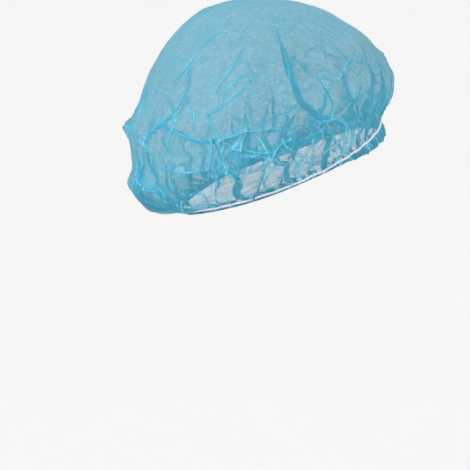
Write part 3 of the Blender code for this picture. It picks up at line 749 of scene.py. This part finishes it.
def nonwoven():
    """The cloth's material, which reads the place on the flat sheet and how creased the cloth is, and paints a
    light highlight blue where it is most creased.
    """
    made = Finish("blue nonwoven")
    flat_at = made.node("ShaderNodeAttribute", {"attribute_name": "flat_place"}).outputs["Vector"]
    creased_at = made.node("ShaderNodeAttribute", {"attribute_name": "creased"}).outputs["Fac"]
    web = 0.0
    for turn, weight in FIBRES:
        strand = made.grain(flat_at, FIBRES_PER_METRE, turn, FIBRE_LENGTH)
        web = made.sum("MULTIPLY_ADD", made.sum("SUBTRACT", strand, 0.5), weight, web)
    speckle = made.sum("SUBTRACT", made.grain(flat_at, THIN_PLACES_PER_METRE, 0.60, 2.2), 0.5)
    cloud = made.sum("SUBTRACT", made.grain(flat_at, CLOUDS_PER_METRE, 0.60, 3.0), 0.5)
    welds = made.node("ShaderNodeTexVoronoi", {"feature": "F1"},
                      Vector=flat_at, Scale=WELDS_PER_METRE, Randomness=0.3)
    weld = made.sum("MULTIPLY_ADD", welds.outputs["Distance"], -4.0, 1.4, clamp=True)

    density = PLAIN_DENSITY
    for part, share in ((web, WEB_SHARE), (speckle, SPECKLE_SHARE), (cloud, CLOUD_SHARE), (weld, WELD_SHARE)):
        density = made.sum("MULTIPLY_ADD", part, share, density)
    density = made.sum("MAXIMUM", density, THINNEST)
    density = made.sum("MULTIPLY_ADD", creased_at, CREASE_SHARE, density, clamp=True)
    slant = made.node("ShaderNodeLayerWeight", Blend=0.3).outputs["Facing"]
    open_share = made.sum("SUBTRACT", 1.0, density)
    alpha = made.sum("MULTIPLY_ADD", made.sum("POWER", slant, SLANT_POWER), open_share, density, clamp=True)
    seen = made.node("ShaderNodeLightPath").outputs["Is Camera Ray"]
    alpha = made.sum("MULTIPLY", alpha, made.sum("MULTIPLY_ADD", seen, 1 - UNSEEN_SHARE, UNSEEN_SHARE))

    doubled = made.sum("MULTIPLY", creased_at, 1.8, clamp=True)
    # Painted highlight: where the cloth is most creased, the light blue is mixed in over the crease blue.
    ridge = made.sum("MULTIPLY_ADD", creased_at, 2.4, -1.3, clamp=True)
    colour = CLOTH_BLUE
    for share, blue in ((doubled, CREASE_BLUE), (ridge, RIDGE_HIGHLIGHT_BLUE)):
        mixed = made.node("ShaderNodeMix", {"data_type": "RGBA"}, Factor=share, A=colour, B=blue)
        colour = mixed.outputs["Result"]
    bump = made.node("ShaderNodeBump", Height=web, Strength=0.5, Distance=0.0002)
    made.feed(made.shader.inputs["Base Color"], colour)
    made.feed(made.shader.inputs["Alpha"], alpha)
    made.feed(made.shader.inputs["Roughness"], 0.55)
    made.feed(made.shader.inputs["Sheen Weight"], 0.2)
    made.feed(made.shader.inputs["Normal"], bump.outputs["Normal"])

    clear = made.node("ShaderNodeBsdfTransparent")
    lit_through = made.node("ShaderNodeBsdfTranslucent", Color=colour)
    thin = made.tree.nodes.new("ShaderNodeMixShader")
    both = made.tree.nodes.new("ShaderNodeMixShader")
    for socket, value in zip(thin.inputs, (alpha, clear.outputs[0], lit_through.outputs[0])):
        made.feed(socket, value)
    for socket, value in zip(both.inputs, (LIT_THROUGH_SHARE, made.shader.outputs[0], thin.outputs[0])):
        made.feed(socket, value)
    made.feed(made.tree.nodes["Material Output"].inputs["Surface"], both.outputs[0])
    return made.material


# The edge of the disc past the elastic is the same nonwoven, cut and left raw. At the front it stands out in
# ruffles and rolls over. Elsewhere it curls up into a small roll just under the elastic.

# Degrees round either side from the front, the length before the roll, the roll's radius and its angle, and
# the ruffles' share. The roll tightens as it goes in, and the ruffles slant.
Hem = namedtuple("Hem", "around straight radius turn wave")
HEMS = [
    Hem(0, 0.0070, 0.0019, 3.3, 1.0),
    Hem(52, 0.0070, 0.0019, 3.3, 1.0),
    Hem(66, 0.0050, 0.0018, 5.5, 0.8),
    Hem(80, 0.0012, 0.0017, 9.5, 0.3),
    Hem(92, 0.0001, 0.0016, 11.5, 0.1),
    Hem(140, 0.0001, 0.0016, 11.5, 0.1),
    Hem(160, 0.0002, 0.0016, 11.5, 0.2),
    Hem(180, 0.0008, 0.0016, 11.0, 0.4),
]
ROLL_TIGHTENS = 0.06
FLARE = 0.12
RUFFLES_ROUND = 118
RUFFLE_HEIGHT = 1.4
RUFFLE_SLANT = 2.2 * MM

from_front = 180 - np.abs(np.degrees(around) % 360 - 180)
straight, radius, turn, wave = np.moveaxis(smooth_rows(HEMS, from_front), -1, 0)
hem = np.clip(past_line - THROAT_LENGTH, 0, None)
full_roll = radius * (1 - np.exp(-ROLL_TIGHTENS * turn)) / ROLL_TIGHTENS
rolled = np.clip(hem - straight, 0, full_roll)
rest = np.clip(hem - straight - full_roll, 0, None)
angle = -np.log(1 - ROLL_TIGHTENS * rolled / radius) / ROLL_TIGHTENS
roll = radius * (np.exp((1j - ROLL_TIGHTENS) * angle) - 1) / (1j - ROLL_TIGHTENS)
hem_down = np.minimum(hem, straight) + roll.real + rest * np.cos(turn)
hem_in = roll.imag + rest * np.sin(turn)
place += OPENING_AXIS * hem_down[:, None]
flare = FLARE * np.minimum(hem, straight)
flutter = wave * MM * RUFFLE_HEIGHT * smooth_step(hem / (4 * MM))
beat = around * RUFFLES_ROUND + 2 * wander(around, 15, 60) + hem / RUFFLE_SLANT
place += hem_out * (flare - hem_in + flutter * np.cos(beat))[:, None]
place += OPENING_AXIS * (0.5 * flutter * np.cos(beat / 3))[:, None]
# Painted light and shade on the front ruffles, in step with their waves: denser, deeper blue cloth with a
# painted highlight where each wave turns furthest in, and plain cloth where it stands furthest out.
ruffle_density_and_painted_light = smooth_step(hem / (2 * MM)) * (0.45 - 0.45 * np.cos(beat)) * smooth_step((85 - from_front) / 25)
creased = np.maximum(creased, ruffle_density_and_painted_light)


def new_piece(name, data, finish):
    """An object of the mesh, in the scene and with its finish on it."""
    data.materials.clear()
    data.materials.append(finish)
    made = bpy.data.objects.new(name, data)
    bpy.context.scene.collection.objects.link(made)
    return made


# The whole sheet, laid in its folds. Each point keeps its place on the flat sheet and how creased it is, from
# which the material also paints its highlights, and edges where the cloth turns sharply are left sharp.
SHARP_FOLD = math.radians(70)

sheet_data = bpy.data.meshes.new("whole sheet")
sheet_mesh.to_mesh(sheet_data)
sheet_mesh.free()
sheet_data.vertices.foreach_set("co", place.astype(np.float32).ravel())
flat_place = sheet_data.attributes.new("flat_place", "FLOAT_VECTOR", "POINT")
flat_place.data.foreach_set("vector", flat.astype(np.float32).ravel())
sheet_data.attributes.new("creased", "FLOAT", "POINT").data.foreach_set("value", creased.astype(np.float32))
sheet_data.shade_smooth()
crown_mesh = bmesh.new()
crown_mesh.from_mesh(sheet_data)
for edge in crown_mesh.edges:
    edge.smooth = edge.calc_face_angle(0) < SHARP_FOLD
bpy.data.meshes.remove(sheet_data)

# It is parted just past the elastic, so that each piece stands for one node
past_elastic = np.hypot(flat[:, 0], flat[:, 1]) > GATHERED_RADIUS + THROAT_LENGTH - 1e-6
cloth_finish = nonwoven()
cloth_pieces = []
hem_mesh = crown_mesh.copy()
hem_mesh.verts.index_update()
for name, mesh, is_hem in (("crown_cloth", crown_mesh, False), ("rolled_hem", hem_mesh, True)):
    surplus = [face for face in mesh.faces if all(past_elastic[v.index] for v in face.verts) != is_hem]
    bmesh.ops.delete(mesh, geom=surplus, context="FACES")
    data = bpy.data.meshes.new(name)
    mesh.to_mesh(data)
    mesh.free()
    cloth_pieces.append(new_piece(name, data, cloth_finish))
crown_piece, hem_piece = cloth_pieces
for piece, node_name in ((crown_piece, "crown"), (hem_piece, "hem_frill")):
    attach(piece, "root")
    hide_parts(node_name)


# The elastic is a narrow white knitted tape, 58 cm round as the cap is worn. It lies on the outside of the
# drawn-in cloth, and was sewn on while it was stretched.

TAPE_WIDTH = 0.0018
ELASTIC_THICKNESS = 0.0009
ELASTIC_GAP = 0.0003

# Across it run low ribs, which make it a little wider and thicker by these shares
RIBS = 230
RIB_WIDER = 0.07
RIB_THICKER = 0.22
EDGE_ROUNDING = 0.7


def along_elastic(around, across, out):
    """Points on the elastic: across from its middle towards the edge of the hem, and out from its middle."""
    one = np.ones_like(around)
    sway = 0.25 * MM * wander(around, 30, 70)
    below = THROAT_ABOVE_ELASTIC + ELASTIC_WIDTH / 2 + sway
    away = opening_outward(around)
    middle = plain_crown(around, one) + OPENING_AXIS * below[:, None]
    middle = middle + away * (ELASTIC_GAP + ELASTIC_THICKNESS / 2)
    return middle + OPENING_AXIS * across[:, None] + away * out[:, None]


# Its finish is matt white yarns that run along it, a little grey between them and where it has been handled
YARNS_PER_METRE = 2600
HANDLED_PER_METRE = 45
WHITE_BETWEEN = (0.78, 0.81, 0.88, 1)
WHITE_YARN = (0.98, 0.98, 0.99, 1)


def knitted_white():
    """The elastic's material."""
    made = Finish("white elastic")
    place = made.node("ShaderNodeTexCoord").outputs["Object"]
    yarn = made.grain(place, YARNS_PER_METRE, 0.0, 1.5)
    handled = made.grain(place, HANDLED_PER_METRE, 0.4, 2.0)
    shade = made.sum("MULTIPLY_ADD", yarn, 0.5, made.sum("MULTIPLY", handled, 0.5), clamp=True)
    colour = made.node("ShaderNodeMix", {"data_type": "RGBA"}, Factor=shade, A=WHITE_BETWEEN, B=WHITE_YARN)
    rough = made.sum("MULTIPLY_ADD", yarn, -0.2, 0.85)
    bump = made.node("ShaderNodeBump", Height=yarn, Strength=0.6, Distance=0.0002)
    made.feed(made.shader.inputs["Base Color"], colour.outputs["Result"])
    made.feed(made.shader.inputs["Roughness"], rough)
    made.feed(made.shader.inputs["Normal"], bump.outputs["Normal"])
    return made.material


# A closed section is spun into a ring of radius 2, and then each point goes to its place on the tape
RING_RADIUS = 2

elastic_mesh = bmesh.new()
bmesh.ops.create_circle(elastic_mesh, segments=12, radius=0.5)
bmesh.ops.rotate(elastic_mesh, verts=elastic_mesh.verts, cent=(0, 0, 0),
                 matrix=Matrix.Rotation(math.pi / 2, 3, "Y"))
bmesh.ops.translate(elastic_mesh, verts=elastic_mesh.verts, vec=(0, RING_RADIUS, 0))
bmesh.ops.spin(elastic_mesh, geom=elastic_mesh.verts[:] + elastic_mesh.edges[:], cent=(0, 0, 0), axis=(0, 0, 1),
               angle=math.tau, steps=6 * RIBS, use_merge=True)
ring = np.array([vertex.co[:] for vertex in elastic_mesh.verts])
ring_around = np.arctan2(ring[:, 0], ring[:, 1]) % math.tau
section = np.arctan2(ring[:, 2], np.hypot(ring[:, 0], ring[:, 1]) - RING_RADIUS)
rib = np.cos(RIBS * ring_around)
up, off = np.sin(section), np.cos(section)
wide = TAPE_WIDTH / 2 * np.sign(up) * np.abs(up) ** EDGE_ROUNDING * (1 + RIB_WIDER * rib)
thick = ELASTIC_THICKNESS / 2 * np.sign(off) * np.abs(off) ** EDGE_ROUNDING * (1 + RIB_THICKER * rib)
for vertex, point in zip(elastic_mesh.verts, along_elastic(ring_around, -wide, thick)):
    vertex.co = point
bmesh.ops.recalc_face_normals(elastic_mesh, faces=elastic_mesh.faces)
elastic_data = bpy.data.meshes.new("elastic_tape")
elastic_mesh.to_mesh(elastic_data)
elastic_mesh.free()
elastic_data.shade_smooth()
elastic = new_piece("elastic_tape", elastic_data, knitted_white())
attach(elastic, "root")
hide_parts("elastic_band")


# The elastic is sewn to the cloth with white thread, in a zigzag whose stitches cross it from edge to edge. It
# is one thread that goes down through the cloth beside the tape, up, over and down on its other side.

STITCHES = 150
THREAD_RADIUS = 0.00024
TWISTS_PER_METRE = 5200
THREAD_SHADE = (0.52, 0.56, 0.78, 1)
THREAD_WHITE = (0.86, 0.88, 0.96, 1)

# The four points of a stitch: shares of the way to the next one, and millimetres across and out of the tape
STITCH_AT = [0.0, 0.12, 0.5, 0.62]
STITCH_ACROSS = [-1.1, -0.85, 0.85, 1.1]
STITCH_OUT = [-0.55, 0.6, 0.6, -0.55]


def spun_thread():
    """The thread's material."""
    made = Finish("sewing thread")
    place = made.node("ShaderNodeTexCoord").outputs["Object"]
    twist = made.grain(place, TWISTS_PER_METRE, 0.8, 3.0)
    colour = made.node("ShaderNodeMix", {"data_type": "RGBA"}, Factor=twist, A=THREAD_SHADE, B=THREAD_WHITE)
    bump = made.node("ShaderNodeBump", Height=twist, Strength=0.5, Distance=0.0001)
    made.feed(made.shader.inputs["Base Color"], colour.outputs["Result"])
    made.feed(made.shader.inputs["Roughness"], 0.6)
    made.feed(made.shader.inputs["Normal"], bump.outputs["Normal"])
    return made.material


stitch_around = (np.repeat(np.arange(STITCHES), 4) + np.tile(STITCH_AT, STITCHES)) / STITCHES * math.tau
stitch_across = np.tile(STITCH_ACROSS, STITCHES) * MM
stitch_out = np.tile(STITCH_OUT, STITCHES) * MM
stitch_places = along_elastic(stitch_around, stitch_across, stitch_out)
thread_line = bpy.data.curves.new("thread", "CURVE")
thread_line.dimensions = "3D"
thread_line.bevel_depth = THREAD_RADIUS
thread_line.bevel_resolution = 1
spline = thread_line.splines.new("POLY")
spline.points.add(len(stitch_places) - 1)
spline.points.foreach_set("co", np.column_stack([stitch_places, np.ones(len(stitch_places))]).ravel())
spline.use_cyclic_u = True
thread_curve = bpy.data.objects.new("thread_line", thread_line)
bpy.context.scene.collection.objects.link(thread_curve)
thread_data = bpy.data.meshes.new_from_object(thread_curve)
bpy.data.objects.remove(thread_curve)
thread_data.name = "zigzag_stitches"
thread_data.shade_smooth()
thread = new_piece("zigzag_stitches", thread_data, spun_thread())
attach(thread, "root")


# The studio: a pale floor that rises into a wall all round, even white light, a large soft key light on one
# side of the camera and a weaker one on its other side, and a camera at the photograph's angle.

VIEW_AZIMUTH = math.radians(236)
VIEW_DISTANCE = 2.6
LENS = 226
AIM = Vector((0.0214, 0.0318, -0.0617))
FLOOR_DROP = 1.0
FLOOR_GREY = (0.75, 0.75, 0.75, 1)
FLOOR_GLOW = 0.36
WHITE = (1, 1, 1, 1)
SKY_STRENGTH = 0.82

# The floor's profile: distances from its middle and heights
SWEEP = [(0, 0), (3.6, 0), (4.2, 0.06), (4.7, 0.25), (5.1, 0.6), (5.3, 1.1), (5.35, 1.8), (5.35, 5.0)]

sweep_mesh = bmesh.new()
profile = [sweep_mesh.verts.new((r, 0, z - FLOOR_DROP)) for r, z in SWEEP]
profile_edges = [sweep_mesh.edges.new(pair) for pair in zip(profile, profile[1:])]
bmesh.ops.spin(sweep_mesh, geom=profile + profile_edges, cent=(0, 0, 0), axis=(0, 0, 1),
               angle=math.tau, steps=96, use_merge=True)
bmesh.ops.remove_doubles(sweep_mesh, verts=sweep_mesh.verts, dist=1e-5)
sweep_data = bpy.data.meshes.new("pale_sweep")
sweep_mesh.to_mesh(sweep_data)
sweep_mesh.free()
sweep_data.shade_smooth()
floor = Finish("pale floor")
floor_seen = floor.node("ShaderNodeLightPath").outputs["Is Camera Ray"]
floor.feed(floor.shader.inputs["Base Color"], FLOOR_GREY)
floor.feed(floor.shader.inputs["Roughness"], 0.9)
floor.feed(floor.shader.inputs["Emission Color"], WHITE)
floor.feed(floor.shader.inputs["Emission Strength"], floor.sum("MULTIPLY", floor_seen, FLOOR_GLOW))
new_piece("pale_sweep", sweep_data, floor.material)

world = bpy.data.worlds.new("studio")
world.use_nodes = True
world.node_tree.nodes["Background"].inputs["Color"].default_value = WHITE
world.node_tree.nodes["Background"].inputs["Strength"].default_value = SKY_STRENGTH
bpy.context.scene.world = world


def area_light(name, place, size, power):
    """A soft square light that shines at the cap."""
    light = bpy.data.lights.new(name, "AREA")
    light.size = size
    light.energy = power
    lamp = bpy.data.objects.new(name, light)
    lamp.location = place
    lamp.rotation_euler = (-Vector(place)).to_track_quat("-Z", "Y").to_euler()
    bpy.context.scene.collection.objects.link(lamp)


area_light("key", (-0.6, 2.2, 1.5), 0.7, 60)
area_light("fill", (-2.0, -1.4, 0.8), 0.9, 16)

camera_data = bpy.data.cameras.new("camera")
camera_data.lens = LENS
camera_data.sensor_width = 36
camera_data.clip_end = 100
camera = bpy.data.objects.new("camera", camera_data)
toward = Vector((math.sin(VIEW_AZIMUTH), -math.cos(VIEW_AZIMUTH), 0))
camera.location = AIM + toward * VIEW_DISTANCE
camera.rotation_euler = (-toward).to_track_quat("-Z", "Y").to_euler()
bpy.context.scene.collection.objects.link(camera)
bpy.context.scene.camera = camera
bpy.context.scene.view_settings.view_transform = "Standard"
bpy.context.scene.cycles.transparent_max_bounces = 32
